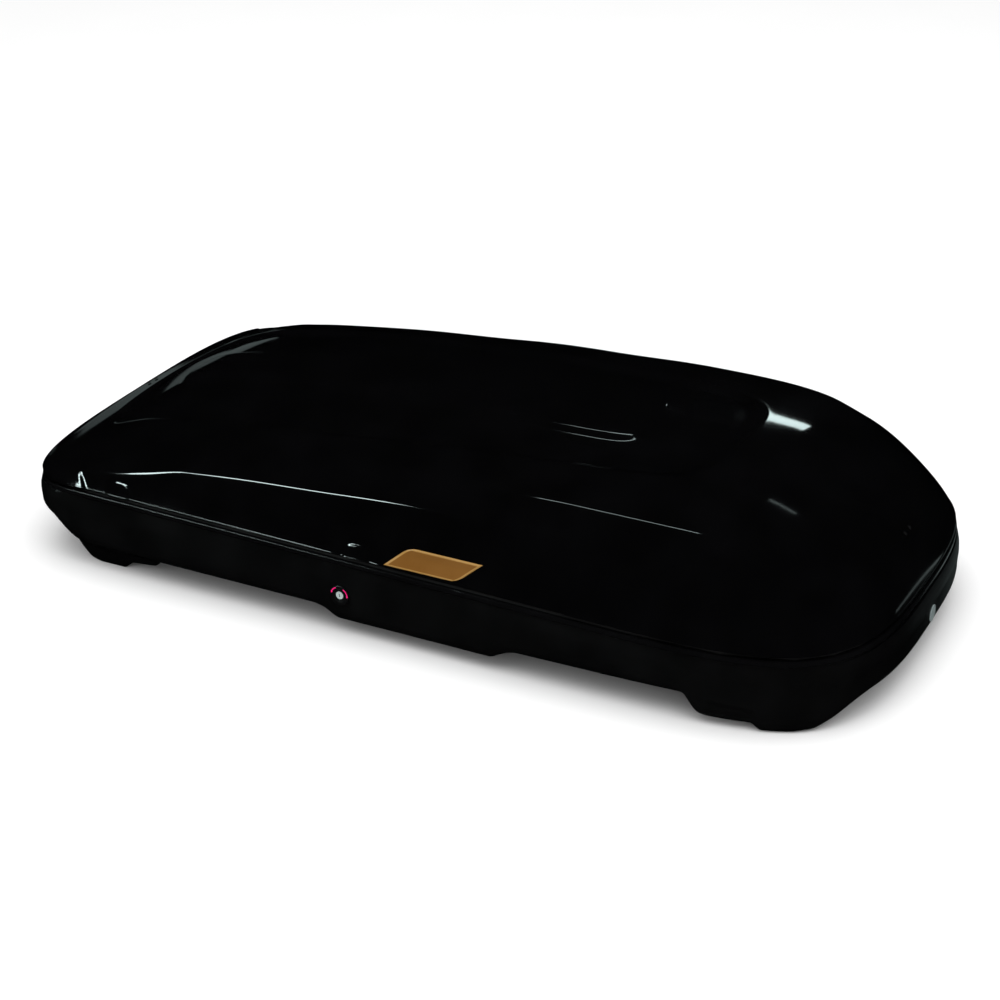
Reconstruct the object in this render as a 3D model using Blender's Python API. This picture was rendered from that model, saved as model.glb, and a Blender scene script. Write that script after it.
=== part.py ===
"""Roof cargo box: glossy lid, tray with bar channels, hinges, stays, lock and quick clamps.

Metres. +X is the nose, -Y the side with the lock, +Z up. The tray stands on its two tubs at Z = 0.
"""
import math

import bmesh
import bpy
from mathutils import Vector

# Plan outline: straight sides between two superellipse ends
HALF_W = 0.460
REAR_X, REAR_SPINE, REAR_POW = -0.909, -0.717, (4.2, 3.2)
NOSE_X, NOSE_SPINE, NOSE_POW = 0.921, 0.183, (5.6, 3.2)
REAR_END_Y = (0.0, 0.10, 0.19, 0.27, 0.33, 0.375, 0.405)
NOSE_END_Y = (0.35, 0.30, 0.24, 0.16, 0.08, 0.0)
# Seam: the lid edge falls slightly towards the nose
SEAM_Z, SEAM_SLOPE, SEAM_GAP = 0.1757, -0.0165, 0.009
# Lid
LID_WALL = 0.004
LID_TOP = (
    (-1.067, 0.190), (-0.967, 0.206), (-0.887, 0.214), (-0.817, 0.244), (-0.737, 0.281),
    (-0.677, 0.303), (-0.567, 0.324), (-0.377, 0.347), (-0.177, 0.360), (-0.017, 0.372),
    (0.183, 0.378), (0.333, 0.382), (0.583, 0.377), (0.733, 0.360), (1.033, 0.344))
# Crown: how far the side edge of the top lies below its centre line, and how much more or less at places
CROWN, CROWN_MID, CROWN_REAR, CROWN_NOSE = 0.059, 0.017, -0.028, 0.011
LID_SIDE_X = (-0.837, -0.787, -0.717, -0.637, -0.537, -0.417, -0.277, -0.137, 0.003,
              0.143, 0.263, 0.383, 0.483, 0.583, 0.663, 0.733, 0.793, 0.830)
LID_RINGS = (1.0, 0.985, 0.95, 0.925, 0.88, 0.80, 0.70, 0.60, 0.555, 0.50, 0.40, 0.28, 0.20, 0.16, 0.0)
LID_NOSE_POW, LID_REAR_POW = 7.0, 14.0
# Lid side, as shares of its rise: slope of the wall, facet above it, rounding of the two creases
WALL_SLOPE, FACET_RISE, FACET_START, FACET_SLOPE = 8.2, 0.76, 0.93, 1.71
WALL_CREASE, TOP_CREASE = 0.06, 0.06
RAIL_IN, PANEL_OUT, CHANNEL_DEPTH = (0.60, 0.49), (0.13, 0.22), 0.010
# Tray
TRAY_WALL = 0.004
TRAY_SPINE = (-0.787, 0.753)
# Tray underside along the length: station X, skirt bottom Z, tub floor Z, tub inset from the plan
TRAY_STATIONS = (
    (-0.935, 0.108, 0.104, 0.045), (-0.840, 0.106, 0.100, 0.045), (-0.812, 0.098, 0.088, 0.042),
    (-0.790, 0.080, 0.056, 0.042), (-0.770, 0.062, 0.026, 0.042), (-0.750, 0.053, 0.006, 0.042),
    (-0.728, 0.050, 0.000, 0.042), (-0.662, 0.050, 0.000, 0.043), (-0.652, 0.050, 0.014, 0.045),
    (-0.592, 0.050, 0.015, 0.054), (-0.567, 0.050, 0.052, 0.056), (-0.547, 0.050, 0.055, 0.056),
    (-0.377, 0.050, 0.055, 0.056), (-0.187, 0.050, 0.055, 0.056), (-0.167, 0.046, 0.050, 0.056),
    (-0.137, 0.029, 0.029, 0.056), (-0.017, 0.029, 0.029, 0.056), (0.103, 0.029, 0.029, 0.056),
    (0.203, 0.029, 0.029, 0.056), (0.233, 0.046, 0.050, 0.056), (0.253, 0.052, 0.056, 0.056),
    (0.433, 0.055, 0.057, 0.056), (0.503, 0.056, 0.057, 0.053), (0.573, 0.057, 0.057, 0.050),
    (0.598, 0.056, 0.054, 0.044), (0.610, 0.036, 0.034, 0.040), (0.623, 0.020, 0.018, 0.040),
    (0.640, 0.016, 0.015, 0.040), (0.727, 0.015, 0.015, 0.040), (0.733, 0.001, 0.000, 0.040),
    (0.790, 0.000, 0.000, 0.036), (0.822, 0.004, 0.000, 0.034), (0.850, 0.024, 0.000, 0.040),
    (0.874, 0.046, 0.000, 0.050), (0.891, 0.056, 0.000, 0.058), (0.921, 0.060, 0.000, 0.062))
TRAY_SIDE_X = (-0.840, 0.822)
# Tray wall rings: inset, share of the height from skirt bottom (0) to rim (1), drop below that, end bulge
TRAY_WALL_RINGS = (
    (0.0160, 1.0, 0.0, 0.2), (0.0015, 1.0, 0.0, 0.2), (0.0, 1.0, 0.0025, 0.2), (0.0, 1.0, 0.0110, 0.2),
    (0.0035, 1.0, 0.0130, 0.3), (0.0022, 0.50, 0.0, 1.0), (0.0038, 0.24, 0.0, 1.06),
    (0.0084, 0.055, 0.0, 1.36), (0.0180, 0.0, 0.0, 1.30))
# Tub rings: share of the way to the tub inset, share of the drop to the tub floor, end bulge
TUB_RINGS = ((0.47, 0.02, 0.7), (0.74, 0.72, 0.4), (1.0, 1.0, 0.0))
NOSE_BULGE, REAR_BULGE = 0.014, 0.017
# Hinge line and its three hinges
HINGE_Y, HINGE_Z = 0.420, 0.145
HINGE_X = (-0.467, -0.017, 0.383)
PIN_R, CURL_T, LEAF_W, LEAF_CLEAR = 0.003, 0.0022, 0.024, 0.0022
# Lid stays: folding two-arm struts whose arms keep parallel to lid and tray
STAY_X = {"rear": -0.627, "front": 0.563}
STAY_FLOOR = {"rear": 0.0195, "front": 0.0615}
STAY_BASE, STAY_LID = (-0.20, -0.035), (-0.30, 0.090)
ARM_W, ARM_T, ARM_STEP = 0.020, 0.003, 0.0035
RIVET_R, RIVET_HEAD, RIVET_CAP, RIVET_GRIP = 0.003, 0.0057, 0.0016, 0.0073
BRACKET_R, BRACKET_HALF, BRACKET_CLEAR = 0.011, 0.035, 0.0036
# Central locking
LOCK_X, LOCK_Y, LOCK_Z = -0.122, -0.4586, 0.090
LOCK_R, BEZEL_R, LOCK_HOLE_R = 0.0085, 0.0215, 0.0100
BEZEL_BORE, BEZEL_T, BARREL_DEPTH, FORK_SHAFT_END = 0.0092, 0.0032, 0.0210, 0.0410
LOCK_THROW = 0.018
HOOK_X = (-0.617, -0.087, 0.483)
BAR_Y, BAR_T, BAR_Z, BAR_H = -0.4235, 0.003, 0.126, 0.014
# Hook behind its station: back, stem front, tip; its underside and top above the lid edge
HOOK_BACK, HOOK_STEM, HOOK_TIP, HOOK_UNDER, HOOK_OVER = 0.030, 0.018, 0.008, 0.0135, 0.0190
HOOK_LIP, HOOK_CUT = 0.0025, 0.006
# Latch bar beyond its outer hooks; drive tab half width and the radius of its round end
BAR_TAIL, BAR_HEAD, TAB_HALF, TAB_R = 0.045, 0.020, 0.007, 0.0045
# Striker: flange height above the lid edge and its thickness, flange reach past the bar, length of the leg
STRIKER_Z, STRIKER_T, STRIKER_REACH, STRIKER_LEG = 0.0085, 0.0030, 0.006, 0.020
GUIDE_HALF, GUIDE_T, GUIDE_FOOT = 0.017, 0.0024, 0.018
LATCH_PIN_R, FORK_SHAFT_R, FORK_T = 0.002, 0.003, 0.002
# Quick clamps over the two roof-bar channels
CLAMP_X, CLAMP_Y = {"rear": -0.377, "front": 0.433}, 0.300
BODY_R, BODY_H = 0.036, 0.019
KNOB_R, KNOB_TOP, SHAFT_R, SHAFT_DEPTH = 0.030, 0.038, 0.005, 0.018
JAW_REACH, JAW_DROP, JAW_TAIL, JAW_H, JAW_W = 0.062, 0.040, 0.020, 0.008, 0.018
# Plugs: stations, half spacing, radius
PLUG_X, PLUG_Y, PLUG_R = (-0.868, 0.868), 0.0136, 0.0042
# Nose disc: radius, distance ahead of the plan's nose, height of its centre
DISC_R, DISC_OUT, DISC_Z = 0.017, 0.0118, 0.086
# Clearance between touching pieces
GAP = 0.0004
# Side badge: a parallelogram with slanting ends and two rounded corners
BADGE_X, BADGE_Z, BADGE_ROUND, BADGE_SLANT = (-0.024, 0.184), (0.1800, 0.2225), 0.050, math.radians(40.2)


def clear_scene():
    """Start from an empty scene."""
    for obj in list(bpy.data.objects):
        bpy.data.objects.remove(obj, do_unlink=True)


def material(name, colour, rough, metal=0.0):
    """A Principled material of its own for one piece."""
    mat = bpy.data.materials.new(name)
    mat.use_nodes = True
    bsdf = mat.node_tree.nodes["Principled BSDF"]
    bsdf.inputs["Base Color"].default_value = (*colour, 1.0)
    bsdf.inputs["Roughness"].default_value = rough
    bsdf.inputs["Metallic"].default_value = metal
    return mat


LOOKS = {
    "gloss": ((0.010, 0.010, 0.011), 0.12, 0.0), "matte": ((0.018, 0.018, 0.019), 0.55, 0.0),
    "rubber": ((0.012, 0.012, 0.012), 0.80, 0.0), "steel": ((0.55, 0.55, 0.56), 0.35, 1.0),
    "grey": ((0.12, 0.12, 0.125), 0.45, 0.0), "silver": ((0.72, 0.72, 0.72), 0.25, 1.0),
    "bronze": ((0.36, 0.26, 0.13), 0.35, 0.6), "knob": ((0.05, 0.05, 0.055), 0.50, 0.0),
}


def add_object(name, bm, look, origin=(0.0, 0.0, 0.0)):
    """Turn a bmesh given in world metres into a named object with its origin at the given point."""
    bmesh.ops.remove_doubles(bm, verts=bm.verts, dist=0.00001)
    bmesh.ops.recalc_face_normals(bm, faces=bm.faces)
    bmesh.ops.translate(bm, verts=bm.verts, vec=-Vector(origin))
    mesh = bpy.data.meshes.new(name)
    bm.to_mesh(mesh)
    bm.free()
    obj = bpy.data.objects.new(name, mesh)
    obj.location = origin
    mesh.materials.append(material(name, *LOOKS[look]))
    bpy.context.scene.collection.objects.link(obj)
    return obj


def smooth(start, end, value):
    """Smoothstep from start to end."""
    t = min(max((value - start) / (end - start), 0.0), 1.0)
    return t * t * (3.0 - 2.0 * t)


def soft_min(a, b, width):
    """Smaller of two values with a rounded hand-over."""
    h = min(max(0.5 + 0.5 * (b - a) / width, 0.0), 1.0)
    return b * (1.0 - h) + a * h - width * h * (1.0 - h)


def seam_z(x):
    """Height of the lid edge."""
    return SEAM_Z + SEAM_SLOPE * x


# ---------------------------------------------------------------- outline


def side_y(x):
    """Half width of the plan at a station along the length."""
    if x < REAR_SPINE:
        t = (REAR_SPINE - x) / (REAR_SPINE - REAR_X)
        return HALF_W * (1.0 - t ** REAR_POW[0]) ** (1.0 / REAR_POW[1])
    t = max(x - NOSE_SPINE, 0.0) / (NOSE_X - NOSE_SPINE)
    return HALF_W * (1.0 - t ** NOSE_POW[0]) ** (1.0 / NOSE_POW[1])


def end_x(y, nose):
    """Station where the plan has a given half width, at the nose or at the rear."""
    spine, tip, power = (NOSE_SPINE, NOSE_X, NOSE_POW) if nose else (REAR_SPINE, REAR_X, REAR_POW)
    return spine + (tip - spine) * (1.0 - (y / HALF_W) ** power[1]) ** (1.0 / power[0])


def half_plan(side_x):
    """Plan points from rear centre along one side to the nose centre."""
    rear = [(end_x(y, False), y) for y in REAR_END_Y]
    nose = [(end_x(y, True), y) for y in NOSE_END_Y]
    return rear + [(x, side_y(x)) for x in side_x] + nose


def full_plan(half):
    """Closed plan: near side rear to nose, far side back."""
    return [(x, -y) for x, y in half] + [(x, y) for x, y in half[-2:0:-1]]


def end_facing(x, y):
    """How far the plan outline faces lengthwise: (towards the nose, towards the rear), each 0 to 1."""
    nose = x > NOSE_SPINE
    spine, tip, power = (NOSE_SPINE, NOSE_X, NOSE_POW) if nose else (REAR_SPINE, REAR_X, REAR_POW)
    t = max((x - spine) / (tip - spine), 0.0)
    along = power[0] * t ** (power[0] - 1.0) / abs(tip - spine)
    across = power[1] * (abs(y) / HALF_W) ** (power[1] - 1.0) / HALF_W
    weight = smooth(0.0, 1.04, along / math.hypot(along, across))
    return (weight, 0.0) if nose else (0.0, weight)


def skin_rings(bm, rings):
    """Join equal-length closed rings of points with quads; gives back the rings of vertices."""
    loops = [[bm.verts.new(p) for p in ring] for ring in rings]
    for a, b in zip(loops, loops[1:]):
        for i in range(len(a)):
            j = (i + 1) % len(a)
            bm.faces.new((a[i], a[j], b[j], b[i]))
    return loops


def thicken(bm, thickness, up, level_edge):
    """Face an open skin outwards (up or down) and close it with an inner skin one wall thickness away."""
    bmesh.ops.remove_doubles(bm, verts=bm.verts, dist=0.00001)
    bmesh.ops.recalc_face_normals(bm, faces=bm.faces)
    if (sum(f.normal.z * f.calc_area() for f in bm.faces) > 0.0) != up:
        bmesh.ops.reverse_faces(bm, faces=bm.faces)
    bm.normal_update()
    rim = [(e.verts[0], e.verts[1]) for e in bm.edges if e.is_boundary]
    edge_verts = {v for pair in rim for v in pair}
    inner = {}
    for v in list(bm.verts):
        normal = Vector((v.normal.x, v.normal.y, 0.0)) if level_edge and v in edge_verts else v.normal.copy()
        inner[v] = bm.verts.new(v.co - normal.normalized() * thickness)
    for face in list(bm.faces):
        bm.faces.new([inner[v] for v in reversed(face.verts)])
    for a, b in rim:
        bm.faces.new((a, b, inner[b], inner[a]))


# ---------------------------------------------------------------- lid


def lid_crest(x):
    """Height of the lid's centre line by a cubic through its knots."""
    knots = LID_TOP
    i = next(k for k in range(1, len(knots) - 2) if x <= knots[k + 1][0] or k == len(knots) - 3)
    (x0, z0), (x1, z1), (x2, z2), (x3, z3) = knots[i - 1:i + 3]
    t = (x - x1) / (x2 - x1)
    m1, m2 = (z2 - z0) / (x2 - x0) * (x2 - x1), (z3 - z1) / (x3 - x1) * (x2 - x1)
    return ((2 * t ** 3 - 3 * t ** 2 + 1) * z1 + (t ** 3 - 2 * t ** 2 + t) * m1
            + (3 * t ** 2 - 2 * t ** 3) * z2 + (t ** 3 - t ** 2) * m2)


def side_profile(v):
    """Rise of the lid's side from edge to crown: steep wall, shoulder facet, flat top."""
    wall, facet = (1.0 - v) * WALL_SLOPE, FACET_RISE + (FACET_START - v) * FACET_SLOPE
    return soft_min(soft_min(wall, facet, WALL_CREASE), 1.0, TOP_CREASE)


def lid_point(px, py, v):
    """Point of the lid's outer skin at plan point (px, py) drawn in to share v of the way from the spine."""
    spine = min(max(px, REAR_SPINE), NOSE_SPINE)
    x, y = spine + v * (px - spine), v * py
    crown = (CROWN + CROWN_MID * math.exp(-((x + 0.517) / 0.35) ** 2) + CROWN_REAR * smooth(-0.64, -0.87, x)
             + CROWN_NOSE * smooth(0.40, 0.85, x))
    top = lid_crest(x) - crown * (y / HALF_W) ** 2
    rail = RAIL_IN[0] + (RAIL_IN[1] - RAIL_IN[0]) * smooth(-0.32, 0.58, x)
    panel = PANEL_OUT[0] + (PANEL_OUT[1] - PANEL_OUT[0]) * smooth(-0.62, 0.38, x)
    channel = smooth(panel, panel + 0.04, v) * smooth(rail, rail - 0.06, v)
    top -= CHANNEL_DEPTH * channel * smooth(-0.90, -0.76, x) * smooth(0.86, 0.68, x)
    nose, rear = end_facing(px, py)
    rise = ((1.0 - nose - rear) * side_profile(v) + nose * (1.0 - v ** LID_NOSE_POW)
            + rear * (1.0 - v ** LID_REAR_POW))
    edge = seam_z(x)
    return Vector((x, y, edge + (top - edge) * rise))


def build_lid():
    """Lid: one thin moulded skin."""
    bm = bmesh.new()
    plan = full_plan(half_plan(LID_SIDE_X))
    skin_rings(bm, [[lid_point(px, py, v) for px, py in plan] for v in LID_RINGS])
    thicken(bm, LID_WALL, True, True)
    add_object("lid_shell", bm, "gloss", (0.0, HINGE_Y, HINGE_Z))


# ---------------------------------------------------------------- tray


def inset_plan(px, py, inset):
    """Plan point moved inwards by about the given distance."""
    spine = min(max(px, TRAY_SPINE[0]), TRAY_SPINE[1])
    reach = NOSE_X - TRAY_SPINE[1] if px > 0.0 else TRAY_SPINE[0] - REAR_X
    return spine + (px - spine) * (1.0 - inset / reach), py * (1.0 - inset / HALF_W)


def tray_level(x):
    """Skirt bottom height, tub floor height and tub inset at a station, between the tabled ones."""
    i = next(k for k in range(len(TRAY_STATIONS) - 1) if x <= TRAY_STATIONS[k + 1][0])
    low, high = TRAY_STATIONS[i], TRAY_STATIONS[i + 1]
    t = (x - low[0]) / (high[0] - low[0])
    return [a + (b - a) * t for a, b in zip(low[1:], high[1:])]


def build_tray():
    """Tray: rim flange, side wall, skirt and tubs as one thin skin, with holes for lock and clamps."""
    plan = full_plan(half_plan([s[0] for s in TRAY_STATIONS if TRAY_SIDE_X[0] <= s[0] <= TRAY_SIDE_X[1]]))
    levels = [tray_level(px) for px, _ in plan]
    swell = [NOSE_BULGE * smooth(0.68, NOSE_X, px) - REAR_BULGE * smooth(-0.74, REAR_X, px) for px, _ in plan]
    rings = []
    for inset, share, drop, bulge in TRAY_WALL_RINGS:
        ring = []
        for (px, py), (skirt, _, _), out in zip(plan, levels, swell):
            x, y = inset_plan(px, py, inset)
            rim = seam_z(x) - SEAM_GAP
            ring.append(Vector((x + out * bulge, y, skirt + (rim - skirt) * share - drop)))
        rings.append(ring)
    first = TRAY_WALL_RINGS[-1][0]
    for reach, deep, bulge in TUB_RINGS:
        ring = []
        for (px, py), (skirt, tub, inset), out in zip(plan, levels, swell):
            x, y = inset_plan(px, py, first + (inset - first) * reach)
            ring.append(Vector((x + out * bulge, y, skirt + (tub - skirt) * deep)))
        rings.append(ring)
    for share in (0.6, 0.0):
        ring = []
        for (px, _), point in zip(plan, rings[len(TRAY_WALL_RINGS) + len(TUB_RINGS) - 1]):
            spine = min(max(px, TRAY_SPINE[0]), TRAY_SPINE[1])
            height = point.z if spine == px else point.z * share
            ring.append(Vector((spine + share * (point.x - spine), share * point.y, height)))
        rings.append(ring)
    bm = bmesh.new()
    skin_rings(bm, rings)
    thicken(bm, TRAY_WALL, False, False)
    obj = add_object("base_tray", bm, "matte")
    drill(obj, "lock_hole", (LOCK_X, -HALF_W, LOCK_Z), "Y", LOCK_HOLE_R)
    for end, x in CLAMP_X.items():
        for side in (-1, 1):
            drill(obj, f"clamp_hole_{end}_{side:+d}", (x, side * CLAMP_Y, 0.055), "Z", SHAFT_R + 0.003)


def drill(obj, name, centre, axis, radius):
    """Cut a round hole through a wall."""
    bm = bmesh.new()
    bmesh.ops.create_cone(bm, cap_ends=True, segments=20, radius1=radius, radius2=radius, depth=0.05)
    if axis == "Y":
        bmesh.ops.rotate(bm, verts=bm.verts, cent=(0, 0, 0), matrix=turn_to_y())
    mesh = bpy.data.meshes.new(name)
    bm.to_mesh(mesh)
    bm.free()
    cutter = bpy.data.objects.new(name, mesh)
    cutter.location = centre
    cutter.hide_render = True
    cutter.display_type = "WIRE"
    bpy.context.scene.collection.objects.link(cutter)
    mod = obj.modifiers.new(name, "BOOLEAN")
    mod.operation, mod.solver, mod.object = "DIFFERENCE", "EXACT", cutter


# ---------------------------------------------------------------- shared solids


def turn_to_y():
    """Rotation taking +Z to -Y."""
    return Vector((0, 0, 1)).rotation_difference(Vector((0, -1, 0))).to_matrix()


def place(u, w, t, axis):
    """Point with in-plane coordinates (u, w) and coordinate t along the extrusion axis."""
    return {"X": (t, u, w), "Y": (u, t, w), "Z": (u, w, t)}[axis]


def plate(name, outline, axis, start, end, look, holes=(), origin=(0.0, 0.0, 0.0)):
    """Flat plate: an outline with round holes, extruded along an axis."""
    bm = bmesh.new()
    edges = []
    for loop in [outline] + [circle(u, w, r, 14) for u, w, r in holes]:
        verts = [bm.verts.new(place(u, w, start, axis)) for u, w in loop]
        edges += [bm.edges.new((verts[i - 1], verts[i])) for i in range(len(verts))]
    filled = bmesh.ops.triangle_fill(bm, edges=edges, use_beauty=False)
    faces = [g for g in filled["geom"] if isinstance(g, bmesh.types.BMFace)]
    moved = [g for g in bmesh.ops.extrude_face_region(bm, geom=faces, use_keep_orig=True)["geom"]
             if isinstance(g, bmesh.types.BMVert)]
    bmesh.ops.translate(bm, verts=moved, vec=Vector(place(0.0, 0.0, end - start, axis)))
    return add_object(name, bm, look, origin)


def lathe(name, profile, centre, axis, look, segments=24):
    """Solid of revolution about an axis through a centre; profile is (radius, height) pairs."""
    bm = bmesh.new()
    rings = []
    for radius, height in profile:
        ring = []
        for k in range(segments):
            a = 2.0 * math.pi * k / segments
            ring.append((radius * math.cos(a), radius * math.sin(a), height))
        rings.append(ring)
    loops = skin_rings(bm, rings)
    if profile[-1] != profile[0]:
        bm.faces.new(loops[0])
        bm.faces.new(loops[-1])
    if axis == "Y":
        bmesh.ops.rotate(bm, verts=bm.verts, cent=(0, 0, 0), matrix=turn_to_y())
    elif axis != "Z":
        turn = Vector((0, 0, 1)).rotation_difference(Vector(axis)).to_matrix()
        bmesh.ops.rotate(bm, verts=bm.verts, cent=(0, 0, 0), matrix=turn)
    bmesh.ops.translate(bm, verts=bm.verts, vec=Vector(centre))
    return add_object(name, bm, look, centre)


def circle(u, w, radius, count, start=0.0, sweep=2.0 * math.pi):
    """Points of a circle, or of an arc when a sweep is given."""
    steps = count if sweep >= 2.0 * math.pi else count - 1
    angles = [start + sweep * k / steps for k in range(count)]
    return [(u + radius * math.cos(a), w + radius * math.sin(a)) for a in angles]


def bar_outline(a, b, width):
    """Round-ended bar between two points."""
    angle = math.atan2(b[1] - a[1], b[0] - a[0])
    half = math.pi / 2.0
    return (circle(*b, width / 2.0, 7, angle - half, math.pi)
            + circle(*a, width / 2.0, 7, angle + half, math.pi))


# ---------------------------------------------------------------- seal, hinges, stays


def build_seal():
    """Rubber strip standing on the tray rim inside the lid edge."""
    bm = bmesh.new()
    plan = full_plan(half_plan(LID_SIDE_X[::2]))
    section = ((0.0075, 0.0004), (0.0135, 0.0004), (0.0125, 0.0054), (0.0085, 0.0054), (0.0075, 0.0004))
    rings = []
    for inset, rise in section:
        ring = []
        for px, py in plan:
            x, y = inset_plan(px, py, inset)
            ring.append((x, y, seam_z(x) - SEAM_GAP + rise))
        rings.append(ring)
    skin_rings(bm, rings)
    add_object("rim_seal", bm, "rubber")


def hinge_curl(start, sweep):
    """Sheet-metal curl round the hinge pin: outer arc, then inner arc back."""
    inner = PIN_R + GAP
    return (circle(HINGE_Y, HINGE_Z, inner + CURL_T, 13, start, sweep)
            + circle(HINGE_Y, HINGE_Z, inner, 13, start, sweep)[::-1])


def build_hinges():
    """Three internal hinges on the far side: tray leaf, lid leaf and pin."""
    inner, outer = PIN_R + GAP, PIN_R + GAP + CURL_T
    wrap = math.radians(285.0)
    for index, x in enumerate(HINGE_X, 1):
        foot = HALF_W - 0.0085 - HINGE_Y
        tray = [(foot, -0.060), (foot, -0.042), (outer, -0.030), None, (inner, -0.0315),
                (foot - CURL_T, -0.0435), (foot - CURL_T, -0.060)]
        wall = lid_wall_inside(x, HINGE_Z + 0.080) - HINGE_Y
        lean = lid_wall_inside(x, HINGE_Z + 0.097) - HINGE_Y
        lid = [(lean, 0.097), (lean - CURL_T, 0.097), (wall - CURL_T, 0.0825), (-outer, 0.070), None,
               (-inner, 0.0685), (wall, 0.080)]
        for name, points, start, x0, x1 in (("tray", tray, 0.0, x - LEAF_W - 0.001, x - 0.001),
                                            ("lid", lid, math.pi, x + 0.001, x + LEAF_W + 0.001)):
            split = points.index(None)
            outline = ([(HINGE_Y + u, HINGE_Z + w) for u, w in points[:split]] + hinge_curl(start, wrap)
                       + [(HINGE_Y + u, HINGE_Z + w) for u, w in points[split + 1:]])
            plate(f"hinge_{index}_{name}_leaf", outline, "X", x0, x1, "steel", origin=(x, HINGE_Y, HINGE_Z))
        plate(f"hinge_{index}_pin", circle(HINGE_Y, HINGE_Z, PIN_R, 16), "X", x - 0.030, x + 0.030, "steel")


def lid_wall_inside(x, z):
    """Half width inside the lid's side wall at a height, less a small clearance."""
    low, high = 0.90, 1.0
    for _ in range(30):
        mid = (low + high) / 2.0
        low, high = (mid, high) if lid_point(x, side_y(x), mid).z > z else (low, mid)
    return high * side_y(x) - LID_WALL - LEAF_CLEAR


def lid_over(x, y):
    """Height of the lid's outer skin above a plan position ahead of the rear spine end."""
    low, high = max((x - NOSE_SPINE) / (NOSE_X - NOSE_SPINE), 0.0) + 0.0001, 1.0
    for _ in range(40):
        v = (low + high) / 2.0
        px = NOSE_SPINE + (x - NOSE_SPINE) / v if x > NOSE_SPINE else x
        low, high = (low, v) if v * side_y(px) > abs(y) else (v, high)
    return lid_point(px, side_y(px), v).z


def build_stays():
    """Two folding lid stays near the ends: brackets, lower arm, upper arm and three rivets each."""
    hinge = Vector((HINGE_Y, HINGE_Z))
    foot, top = hinge + Vector(STAY_BASE), hinge + Vector(STAY_LID)
    elbow = foot + top - hinge
    hole = RIVET_R + GAP
    for end, x in STAY_X.items():
        floor = STAY_FLOOR[end]
        base = circle(*foot, BRACKET_R, 9, 0.0, math.pi)
        base = [(foot.x + BRACKET_HALF, floor)] + base + [(foot.x - BRACKET_HALF, floor)]
        roof = [(top.x + dy, lid_over(x, top.x + dy) - LID_WALL - BRACKET_CLEAR)
                for dy in (BRACKET_HALF, 0.0, -BRACKET_HALF)]
        cap = roof + circle(*top, BRACKET_R, 9, math.pi, math.pi)
        name = f"stay_{end}"
        plate(f"{name}_tray_bracket", base, "X", x - ARM_STEP, x - ARM_STEP + ARM_T, "steel", [(*foot, hole)])
        plate(f"{name}_lid_bracket", cap, "X", x + 2.0 * ARM_STEP, x + 2.0 * ARM_STEP + ARM_T, "steel",
              [(*top, hole)], (x, HINGE_Y, HINGE_Z))
        plate(f"{name}_lower_arm", bar_outline(foot, elbow, ARM_W), "X", x, x + ARM_T, "grey",
              [(*foot, hole), (*elbow, hole)], (x, *foot))
        plate(f"{name}_upper_arm", bar_outline(elbow, top, ARM_W), "X", x + ARM_STEP, x + ARM_STEP + ARM_T,
              "grey", [(*elbow, hole), (*top, hole)], (x, *elbow))
        rivet = [(RIVET_HEAD, -RIVET_CAP), (RIVET_HEAD, 0.0), (RIVET_R, 0.0), (RIVET_R, RIVET_GRIP),
                 (RIVET_HEAD, RIVET_GRIP), (RIVET_HEAD, RIVET_GRIP + RIVET_CAP)]
        for step, (joint, at) in enumerate((("foot", foot), ("elbow", elbow), ("top", top)), -1):
            lathe(f"{name}_{joint}_rivet", rivet, (x - GAP + step * ARM_STEP, *at), (1, 0, 0), "steel", 14)


# ---------------------------------------------------------------- locking


def bar_edges():
    """Outline of the sliding latch bar with its three hooks and the drive tab."""
    pin_x, pin_z = LOCK_X - LOCK_THROW / 2.0, LOCK_Z + LOCK_THROW / 2.0
    low, high = BAR_Z, BAR_Z + BAR_H
    tail, head = HOOK_X[0] - BAR_TAIL, HOOK_X[2] + BAR_HEAD
    points = [(tail, low), (pin_x - TAB_HALF, low), (pin_x - TAB_HALF, pin_z)]
    points += circle(pin_x, pin_z, TAB_R, 7, math.pi, math.pi)
    points += [(pin_x + TAB_HALF, pin_z), (pin_x + TAB_HALF, low), (head, low), (head, high)]
    for x in reversed(HOOK_X):
        under, over = seam_z(x) + HOOK_UNDER, seam_z(x) + HOOK_OVER
        points += [(x - HOOK_STEM, high), (x - HOOK_STEM, under), (x - HOOK_TIP, under),
                   (x - HOOK_TIP, under + HOOK_LIP), (x - HOOK_TIP - HOOK_CUT, over), (x - HOOK_BACK, over),
                   (x - HOOK_BACK, high + HOOK_CUT), (x - HOOK_BACK - HOOK_CUT, high)]
    return points + [(tail, high)]


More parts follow.
